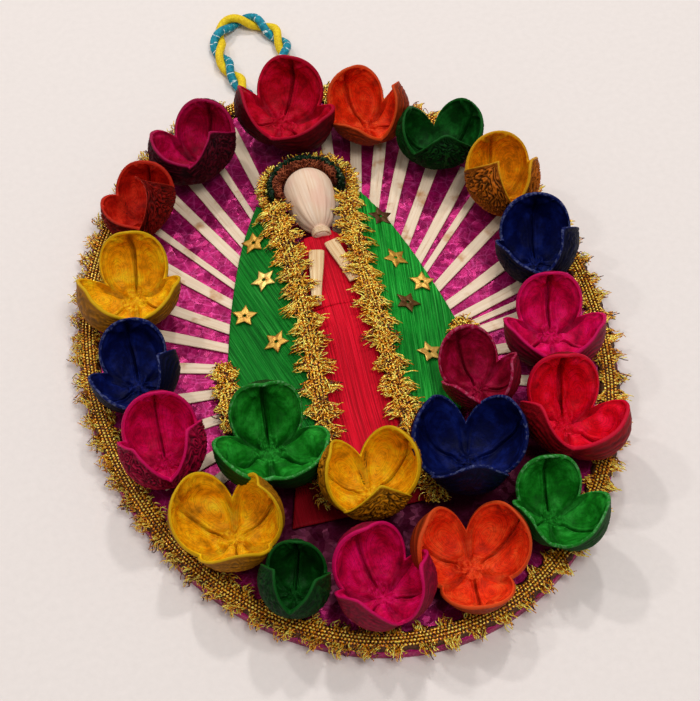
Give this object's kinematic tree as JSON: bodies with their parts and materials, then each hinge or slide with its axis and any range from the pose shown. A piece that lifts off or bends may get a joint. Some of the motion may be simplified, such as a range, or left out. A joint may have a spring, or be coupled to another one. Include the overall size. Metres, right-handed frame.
{
  "type": "corn husk figure wall ornament",
  "caption": "Oval foil-covered wall plaque with a corn husk figure in relief, straw rays, gold braid, a wreath of dyed seed pods and a twisted hanging loop.",
  "frame": {"origin": "middle of the oval board's back face, which lies on the surface", "axes": "+Z out of the board's front, +Y towards the hanging loop, +X to the right seen from the front"},
  "size_m": [0.1904, 0.2878, 0.0351],
  "materials": {
    "board_card": "raw grey-brown pasteboard",
    "magenta_foil": "crinkled metallised foil paper",
    "gold_trim": "metallic thread braid with looped fringe",
    "straw": "flattened straw, satin",
    "natural_husk": "undyed corn husk",
    "red_husk": "dyed corn husk, fine grain",
    "green_husk": "dyed corn husk, ribbed",
    "dark_green_husk": "dyed corn husk",
    "head_husk": "undyed corn husk drawn over a ball",
    "pale_thread": "cotton thread wrap",
    "brown_hair": "curled corn silk",
    "star_sequin": "metallised film, glossy",
    "twisted_cord": "two twisted yarn strands",
    "pod_wine": "dyed dry seed pod, satin",
    "pod_crimson": "dyed dry seed pod, satin",
    "pod_orange": "dyed dry seed pod, satin",
    "pod_forest": "dyed dry seed pod, satin",
    "pod_ochre": "dyed dry seed pod, satin",
    "pod_navy": "dyed dry seed pod, satin",
    "pod_magenta": "dyed dry seed pod, satin",
    "pod_garnet": "dyed dry seed pod, satin",
    "pod_red": "dyed dry seed pod, satin",
    "pod_green": "dyed dry seed pod, satin",
    "pod_yellow": "dyed dry seed pod, satin",
    "pod_rust": "dyed dry seed pod, satin"
  },
  "bodies": {
    "plaque": {"rear_card": "board_card", "front_card": "board_card", "foil_cover": "magenta_foil", "rim_braid": "gold_trim", "straw_rays_left": "straw", "straw_rays_right": "straw", "body_core": "natural_husk", "skirt": "red_husk", "bodice": "red_husk", "head_core": "natural_husk", "head_husk": "head_husk", "neck_tie": "pale_thread", "hair": "brown_hair", "hood": "dark_green_husk", "hood_trim": "gold_trim", "forearm_left": "natural_husk", "forearm_right": "natural_husk", "mantle_left": "green_husk", "mantle_right": "green_husk", "mantle_trim_left": "gold_trim", "mantle_trim_right": "gold_trim", "hem_trim_left": "gold_trim", "hem_trim_right": "gold_trim", "star_sequins_left": "star_sequin", "star_sequins_right": "star_sequin", "hanger_tails": "twisted_cord", "pod_01_wine": "pod_wine", "pod_02_crimson": "pod_crimson", "pod_03_orange": "pod_orange", "pod_04_forest": "pod_forest", "pod_05_ochre": "pod_ochre", "pod_06_navy": "pod_navy", "pod_07_magenta": "pod_magenta", "pod_08_garnet": "pod_garnet", "pod_09_red": "pod_red", "pod_10_navy": "pod_navy", "pod_11_green": "pod_green", "pod_12_orange": "pod_orange", "pod_13_yellow": "pod_yellow", "pod_14_magenta": "pod_magenta", "pod_15_forest": "pod_forest", "pod_16_yellow": "pod_yellow", "pod_17_green": "pod_green", "pod_18_magenta": "pod_magenta", "pod_19_navy": "pod_navy", "pod_20_yellow": "pod_yellow", "pod_21_rust": "pod_rust"},
    "hanger": {"hanger_loop": "twisted_cord"}
  },
  "joints": [
    {"name": "loop_flop", "type": "hinge", "parent": "plaque", "child": "hanger", "pos_m": [-0.0025, 0.12245, 0.0032], "axis": [1, 0, 0], "range_deg": [0, 75]}
  ]
}
